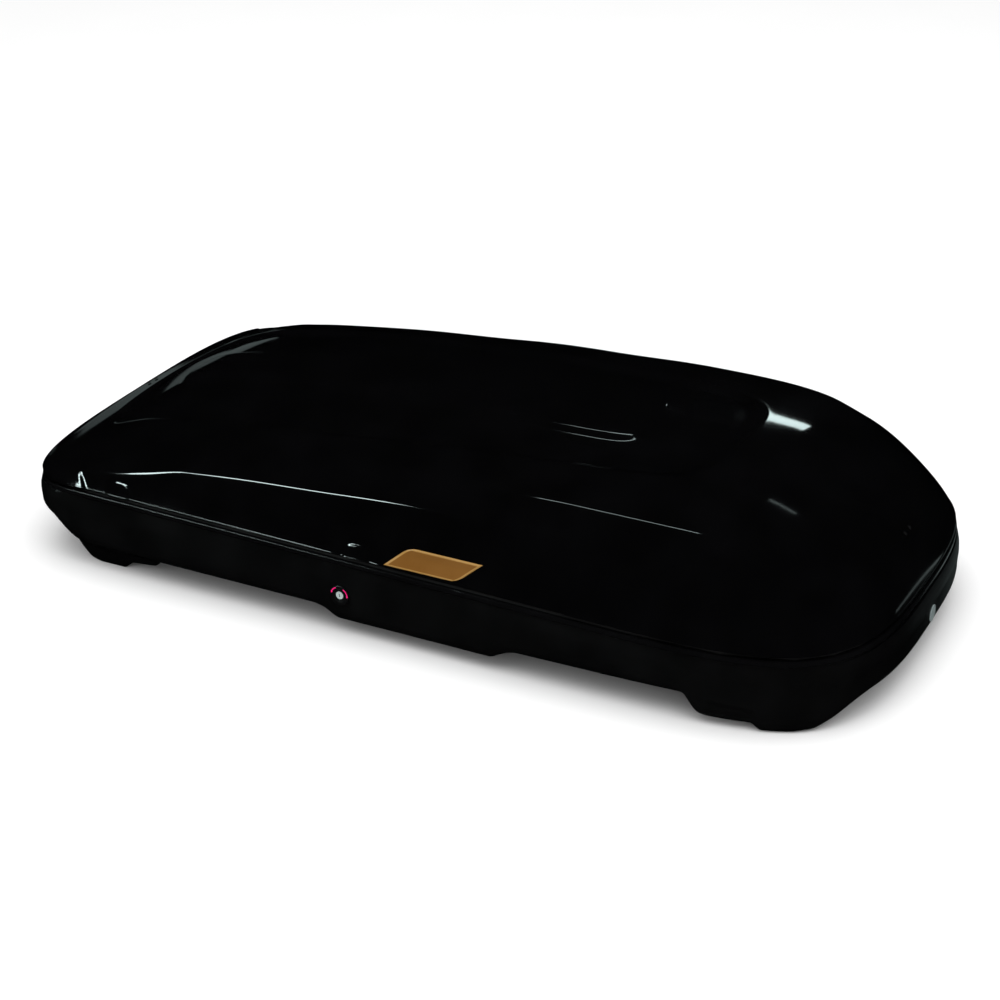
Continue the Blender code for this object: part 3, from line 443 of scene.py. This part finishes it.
def tray_relief(x, z):
    """How far the tray's side stands in: recess on the front foot, crease above it, notch at the rim."""
    recess = (smooth(0.640, 0.650, x) * smooth(0.732, 0.722, x) * smooth(0.022, 0.027, z)
              * smooth(0.056 - 0.10 * (x - 0.64), 0.050 - 0.10 * (x - 0.64), z))
    crease = np.exp(-((z - 0.1045) / 0.0016) ** 2) * smooth(0.585, 0.60, x) * smooth(0.745, 0.73, x)
    notch = np.exp(-((z - 0.1620) / 0.0035) ** 2 - ((x - 0.129) / 0.014) ** 2)
    return 0.0030 * recess + 0.0007 * crease + 0.0018 * notch


def finer(rows, steps):
    """Rows with straight in-between rows added."""
    at = np.linspace(0.0, len(rows) - 1.0, (len(rows) - 1) * steps + 1)
    return np.stack([np.interp(at, np.arange(len(rows)), column) for column in rows.T], -1)


def inset_plan(px, py, inset):
    """Plan points moved inwards by about the given distance."""
    spine = np.clip(px, *TRAY_SPINE)
    reach = np.where(px > 0.0, NOSE_X - TRAY_SPINE[1], TRAY_SPINE[0] - REAR_X)
    return spine + (px - spine) * (1.0 - inset / reach), py * (1.0 - inset / HALF_W)


def tray_grid(px, py):
    """Rings of the tray's outer skin from rim flange to the fold in the floor."""
    skirt, tub, deep_inset = (tray_level(px, k) for k in (1, 2, 3))
    bulge_x = NOSE_BULGE * smooth(0.68, NOSE_X, px) - REAR_BULGE * smooth(-0.74, REAR_X, px)
    rings = []
    for inset, share, drop, bulge in finer(WALL_RINGS, 4):
        x, y = inset_plan(px, py, inset)
        rim = seam_z(x) - SEAM_GAP
        z = skirt + (rim - skirt) * share - drop
        rings.append(np.stack((x + bulge_x * bulge, y - np.sign(y) * tray_relief(x, z), z), -1))
    first = WALL_RINGS[-1, 0]
    for reach, deep, bulge in ((0.32, 0.0, 0.9), (0.47, 0.02, 0.7), (0.55, 0.14, 0.6), (0.63, 0.36, 0.5),
                               (0.74, 0.72, 0.4), (0.84, 0.93, 0.3), (0.92, 0.99, 0.2), (1.0, 1.0, 0.0)):
        x, y = inset_plan(px, py, first + (deep_inset - first) * reach)
        rings.append(np.stack((x + bulge_x * bulge, y, skirt + (tub - skirt) * deep), -1))
    floor = rings[-1]
    spine = np.clip(px, *TRAY_SPINE)
    for share in (0.9, 0.75, 0.6, 0.4, 0.2, 0.0):
        z = np.where(spine == px, floor[:, 2], floor[:, 2] * share)
        rings.append(np.stack((spine + share * (floor[:, 0] - spine), share * floor[:, 1], z), -1))
    return np.array(rings)


def build_tray():
    """High-resolution tray skin."""
    px, py = full_plan(PLAN_POINTS)
    obj = skin("tray_skin", tray_grid(px, py))
    face_outwards(obj, False)
    thicken(obj, TRAY_SKIN)
    obj.data.materials.append(MAT["tray"])
    obj.data.materials.append(MAT["rim"])
    middle = np.empty(3 * len(obj.data.polygons))
    obj.data.polygons.foreach_get("center", middle)
    x, z = middle[0::3], middle[2::3]
    on_rim = z > seam_z(x) - SEAM_GAP - RIM_HEIGHT
    obj.data.polygons.foreach_set("material_index", on_rim.astype(np.int32))
    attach(obj, "tray")
    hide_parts("base_tray")


# ---------------------------------------------------------------- lock and badge


def near_wall(x, z):
    """Y of the lid's near side at given stations and heights."""
    low, high = np.full(np.shape(z), 0.86), np.ones(np.shape(z))
    for _ in range(24):
        mid = (low + high) / 2.0
        above = lid_points(x, np.full(np.shape(z), -HALF_W), mid)[..., 2] > z
        low, high = np.where(above, mid, low), np.where(above, high, mid)
    return lid_points(x, np.full(np.shape(z), -HALF_W), high)[..., 1]


def arc(cx, cy, radius, start, end, count):
    """Points along a circular arc, angles in degrees."""
    a = np.radians(np.linspace(start, end, count))
    return np.stack((cx + radius * np.cos(a), cy + radius * np.sin(a)), -1)


def build_badge():
    """Plain bronze plate that follows the lid's side, with softened edges and a painted highlight in lighter
    bronze along its border.
    """
    (x0, x1), (low, high), radius, slant = BADGE_X, BADGE_Z, BADGE_ROUND, BADGE_SLANT
    run = (high - low) / math.tan(math.radians(slant)) + radius * math.tan(math.radians(slant / 2.0))
    left = np.concatenate((((x0, low),), arc(x0 + run, high - radius, radius, 90.0 + slant, 90.0, 15)))
    right = np.concatenate((arc(x1 - run, low + radius, radius, -90.0, slant - 90.0, 15), ((x1, high),)))
    along, up = BADGE_STEPS
    share = np.concatenate(((0.0, 0.0), np.linspace(0.0, 1.0, along), (1.0, 1.0)))[:, None]
    rise = np.concatenate(((0.0, 0.0), np.linspace(0.0, 1.0, up), (1.0, 1.0)))[None, :]
    rim_u = np.concatenate(((0.0, 0.35), np.ones(along), (0.35, 0.0)))[:, None]
    rim_v = np.concatenate(((0.0, 0.35), np.ones(up), (0.35, 0.0)))[None, :]
    inward_u = np.concatenate(((0.0, 0.4), np.linspace(1.0, -1.0, along), (-0.4, 0.0)))[:, None] * BADGE_EDGE
    inward_v = np.concatenate(((0.0, 0.4), np.linspace(1.0, -1.0, up), (-0.4, 0.0)))[None, :] * BADGE_EDGE
    z = low + (high - low) * rise + inward_v + 0.0 * share
    start, end = np.interp(z, left[:, 1], left[:, 0]), np.interp(z, right[:, 1], right[:, 0])
    x = start + (end - start) * share + inward_u
    y = near_wall(x, z) - BADGE_THICK * np.minimum(rim_u, rim_v)
    grid = np.stack((x, y, z), -1)
    rows, cols, _ = grid.shape
    faces = [(i * cols + j, (i + 1) * cols + j, (i + 1) * cols + j + 1, i * cols + j + 1)
             for i in range(rows - 1) for j in range(cols - 1)]
    # Border faces take the lighter bronze: a painted highlight along the plate's edges
    looks = [int(min(i, rows - 2 - i) < 3 or min(j, cols - 2 - j) < 3)
             for i in range(rows - 1) for j in range(cols - 1)]
    obj = new_object("badge_plate", grid.reshape(-1, 3), faces)
    finish_piece(obj, ("bronze", "bronze_painted_edge_highlight"), "lid", "side_badge")
    obj.data.polygons.foreach_set("material_index", looks)


def finish_piece(obj, looks, body, node):
    """Materials, body, replaced node and material slot of a refined piece."""
    for look in looks:
        obj.data.materials.append(MAT[look])
    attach(obj, body)
    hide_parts(node)


def turned(profile, segments):
    """Vertices and faces of a lathed skin facing -Y about the lock's axis; profile is (radius, outwards)."""
    a = np.linspace(0.0, 2.0 * math.pi, segments, endpoint=False)
    verts = [(LOCK_X + r * math.cos(t), LOCK_Y - h, LOCK_Z + r * math.sin(t)) for r, h in profile for t in a]
    return verts, [tuple(f) for f in ring_faces(len(profile), segments)]


def build_bezel():
    """Lock bezel with two turning marks."""
    ring = [(0.0092, -0.0035), (0.0092, 0.0012), (0.0097, 0.0019), (0.0108, 0.0021), (0.0128, 0.0022),
            (0.0134, 0.0029), (0.0142, 0.0031), (0.0199, 0.0031), (0.0206, 0.0028), (0.0211, 0.0020),
            (0.0214, 0.0010), (0.0215, 0.0)]
    verts, faces = turned(ring, 96)
    looks = [0] * len(faces)
    for start, end in ((112.0, 156.0), (60.0, 8.0)):
        inner, outer = (arc(0.0, 0.0, r, start, end, MARK_STEPS) for r in (MARK_INNER_R, MARK_OUTER_R))
        way = math.copysign(1.0, end - start)
        tip = arc(0.0, 0.0, 0.0181, end + way * 15.0, end + way * 15.0, 1)
        wing = arc(0.0, 0.0, 0.0152, end, end, 1), arc(0.0, 0.0, 0.0199, end, end, 1)
        first = len(verts)
        for u, w in np.concatenate((inner, outer, wing[0], tip, wing[1])):
            verts.append((LOCK_X + u, LOCK_Y - MARK_OUT, LOCK_Z + w))
        faces += [(first + k, first + k + 1, first + MARK_STEPS + 1 + k, first + MARK_STEPS + k)
                  for k in range(MARK_STEPS - 1)]
        head = first + 2 * MARK_STEPS
        faces.append((head, head + 1, head + 2))
        looks += [1] * MARK_STEPS
    bezel = new_object("lock_ring", verts, faces)
    finish_piece(bezel, ("bezel", "mark"), "tray", "lock_bezel")
    bezel.data.polygons.foreach_set("material_index", looks)


def key_ring(bm, radius, out):
    """Ring of vertices about the lock's axis."""
    return [bm.verts.new((LOCK_X + u, LOCK_Y - out, LOCK_Z + w))
            for u, w in arc(0.0, 0.0, radius, 0.0, 360.0 - 360.0 / KEY_SEGMENTS, KEY_SEGMENTS)]


def build_key_cylinder():
    """Key cylinder with its slot."""
    bm = bmesh.new()
    rim = key_ring(bm, KEY_FACE_R, KEY_FACE_OUT)
    tilt = math.radians(KEY_TURN)
    hole = [bm.verts.new((LOCK_X + u * math.cos(tilt) - w * math.sin(tilt), LOCK_Y - KEY_FACE_OUT,
                          LOCK_Z + u * math.sin(tilt) + w * math.cos(tilt)))
            for u, w in ((-0.0008, -0.0036), (0.0008, -0.0036), (0.0008, 0.0036), (-0.0008, 0.0036))]
    edges = [bm.edges.new((loop[i - 1], loop[i])) for loop in (rim, hole) for i in range(len(loop))]
    bmesh.ops.triangle_fill(bm, edges=edges, use_beauty=False)
    # The slot's walls and floor take the dark rubber look: painted shade inside the slot
    deep = [bm.verts.new(v.co + Vector((0.0, SLOT_DEPTH, 0.0))) for v in hole]
    shade = [bm.faces.new((hole[i - 1], hole[i], deep[i], deep[i - 1])) for i in range(4)]
    shade.append(bm.faces.new(deep))
    for face in shade:
        face.material_index = 1
    rings = [rim]
    for radius, out in ((0.0080, 0.0014), (0.0084, 0.0006), (0.0085, -0.0030), (0.0085, -0.0210),
                        (0.0030, -0.0210), (0.0030, -0.0410)):
        rings.append(key_ring(bm, radius, out))
    for a, b in zip(rings, rings[1:]):
        for i in range(KEY_SEGMENTS):
            bm.faces.new((a[i - 1], a[i], b[i], b[i - 1]))
    bm.faces.new(rings[-1])
    bmesh.ops.recalc_face_normals(bm, faces=bm.faces)
    mesh = bpy.data.meshes.new("key_cylinder")
    bm.to_mesh(mesh)
    bm.free()
    obj = bpy.data.objects.new("key_cylinder", mesh)
    bpy.context.scene.collection.objects.link(obj)
    # The face takes the pale look, partly a painted reflection standing in for the metal's shine
    finish_piece(obj, ("silver", "rubber"), "lock", "lock_cylinder")


# ---------------------------------------------------------------- carried-over nodes

# The pale looks of the nose disc and the lock cylinder are partly painted reflection standing in for the
# metal's shine
NODE_LOOKS = (("lid_shell", "lid"), ("base_tray", "tray"), ("rim_seal", "rubber"), ("plug_", "rubber"),
              ("side_badge", "bronze"), ("nose_disc", "pale"), ("lock_cylinder", "silver"),
              ("lock_bezel", "grey"), ("bar_guide", "grey"), ("_body", "grey"), ("_knob", "knob"),
              ("_arm", "paint"), ("", "steel"))
SOFT_EDGE, SHARP_ANGLE = 0.0005, 40.0
# Nodes that a finer mesh replaces, so their edges stay as they are
REFINED = ("lid_shell", "base_tray", "side_badge", "lock_bezel", "lock_cylinder")


def dress_nodes():
    """Give every carried-over CAD node its finish and softened edges."""
    for name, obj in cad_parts.items():
        look = next(m for key, m in NODE_LOOKS if key in name)
        for slot in obj.material_slots:
            slot.material = MAT[look]
        if name not in REFINED:
            edge = obj.modifiers.new("soft_edges", "BEVEL")
            edge.width, edge.segments, edge.limit_method = SOFT_EDGE, 2, "ANGLE"
            edge.angle_limit = math.radians(SHARP_ANGLE)


# ---------------------------------------------------------------- stage

# Softboxes seen only in reflections, placed so that they show where the photo has highlights:
# point they show at, azimuth, elevation and roll seen from it, distance, size, radiance
HIGHLIGHTS = (
    ("rear_side_crease", (-0.27, -0.41, 0.27), 223.0, 40.0, 0.0, 2.5, (1.05, 0.36), 36.0),
    ("front_shoulder", (0.50, -0.35, 0.345), 124.0, 58.5, -38.0, 2.5, (1.20, 0.16), 11.0),
    ("behind_rear", (-0.72, -0.10, 0.25), 134.0, -8.0, 0.0, 3.2, (1.50, 0.46), 0.12),
    ("top_patch", (0.59, 0.12, 0.366), 103.0, 19.5, -12.0, 3.0, (0.58, 0.18), 7.0),
    ("front_rail", (0.44, -0.22, 0.36), 113.0, -9.0, 0.0, 2.5, (0.60, 0.30), 0.6),
    ("nose_glint", (0.68, -0.18, 0.34), 82.0, 48.0, 0.0, 2.5, (0.34, 0.025), 2.4),
    ("behind_nose_low", (0.92, 0.08, 0.13), 78.0, -22.0, 0.0, 2.0, (0.70, 0.45), 0.25),
    ("behind_nose", (0.92, 0.01, 0.165), 60.0, -8.5, -21.0, 2.5, (1.50, 0.030), 0.5))
# Small black card that hides one stray reflection of top_patch; it too is seen only in reflections
FLAG_AT, FLAG_SIDE = (0.29, 0.50, 0.516), 0.10
SOFTBOX_TINT = (0.82, 1.0, 0.99)
# Camera, fitted to the photo's outline: point it looks at, azimuth, elevation, distance; lens, sensor in mm
CAMERA_AT, CAMERA_AZIMUTH, CAMERA_ELEVATION, CAMERA_DISTANCE = (0.071, -0.144, 0.2), 26.6, 26.9, 4.43
CAMERA_LENS, CAMERA_SENSOR = 79.2, 36.0
FLOOR_HALF, FLOOR_Z = 30, -0.0005


def area_light(name, location, target, size, power, glossy=True, diffuse=True):
    """Rectangular soft light aimed at a point."""
    data = bpy.data.lights.new(name, "AREA")
    data.shape = "RECTANGLE"
    data.size, data.size_y = size
    data.energy = power
    obj = bpy.data.objects.new(name, data)
    obj.location = location
    obj.rotation_euler = (Vector(target) - Vector(location)).to_track_quat("-Z", "Y").to_euler()
    obj.visible_glossy = glossy
    obj.visible_diffuse = diffuse
    obj.visible_camera = False
    bpy.context.scene.collection.objects.link(obj)
    return obj


def build_floor():
    """Pale floor that reflections don't see and that casts no shadow."""
    mat, nodes, links, bsdf = node_material("studio_floor")
    at = object_coords(nodes)
    patches = noise(nodes, links, at, 3.0, 3.0)
    links.new(mix_colour(nodes, links, patches, (0.88, 0.88, 0.88), (0.90, 0.90, 0.90)),
              bsdf.inputs["Base Color"])
    bsdf.inputs["Roughness"].default_value = 0.9
    bsdf.inputs["Specular IOR Level"].default_value = 0.0
    corners = [(x * FLOOR_HALF, y * FLOOR_HALF, FLOOR_Z) for x, y in ((-1, -1), (1, -1), (1, 1), (-1, 1))]
    floor = new_object("studio_floor", corners, [(0, 1, 2, 3)], False)
    floor.data.materials.append(mat)
    floor.visible_glossy = False
    floor.visible_shadow = False


def build_surround():
    """White surround that reflections don't see."""
    world = bpy.data.worlds.new("studio")
    world.use_nodes = True
    world.node_tree.nodes["Background"].inputs["Color"].default_value = (1.0, 1.0, 1.0, 1.0)
    world.node_tree.nodes["Background"].inputs["Strength"].default_value = 0.9
    world.cycles_visibility.glossy = False
    bpy.context.scene.world = world


def build_flag():
    """Black card seen only in reflections."""
    x, y, z = FLAG_AT
    half = FLAG_SIDE / 2.0
    corners = [(x - half, y, z - half), (x + half, y, z - half), (x + half, y, z + half),
               (x - half, y, z + half)]
    flag = new_object("light_flag", corners, [(0, 1, 2, 3)], False)
    flag.data.materials.append(MAT["cloth"])
    flag.visible_camera = flag.visible_diffuse = flag.visible_shadow = False


def build_lights():
    """Soft key light, and the softboxes that the lid and tray reflect."""
    area_light("key_soft", (0.5, -1.0, 5.0), (0.0, 0.0, 0.0), (6.0, 6.0), 220.0, glossy=False)
    for name, target, azimuth, elevation, roll, distance, size, radiance in HIGHLIGHTS:
        a, e = math.radians(azimuth), math.radians(elevation)
        way = Vector((math.cos(e) * math.cos(a), math.cos(e) * math.sin(a), math.sin(e)))
        power = radiance * math.pi * size[0] * size[1]
        light = area_light(name, Vector(target) + distance * way, target, size, power, diffuse=False)
        light.rotation_euler.rotate_axis("Z", math.radians(roll))
        light.data.color = SOFTBOX_TINT


def build_camera():
    """Camera at the photo's viewpoint."""
    az, el = math.radians(CAMERA_AZIMUTH), math.radians(CAMERA_ELEVATION)
    back = Vector((math.sin(az) * math.cos(el), -math.cos(az) * math.cos(el), math.sin(el)))
    data = bpy.data.cameras.new("photo_camera")
    data.lens, data.sensor_width = CAMERA_LENS, CAMERA_SENSOR
    data.clip_end = 200.0
    cam = bpy.data.objects.new("photo_camera", data)
    cam.location = Vector(CAMERA_AT) + CAMERA_DISTANCE * back
    cam.rotation_euler = (-back).to_track_quat("-Z", "Y").to_euler()
    bpy.context.scene.collection.objects.link(cam)
    bpy.context.scene.camera = cam
    bpy.context.scene.view_settings.view_transform = "Standard"


build_lid()
build_tray()
build_badge()
build_bezel()
build_key_cylinder()
dress_nodes()
build_floor()
build_surround()
build_flag()
build_lights()
build_camera()
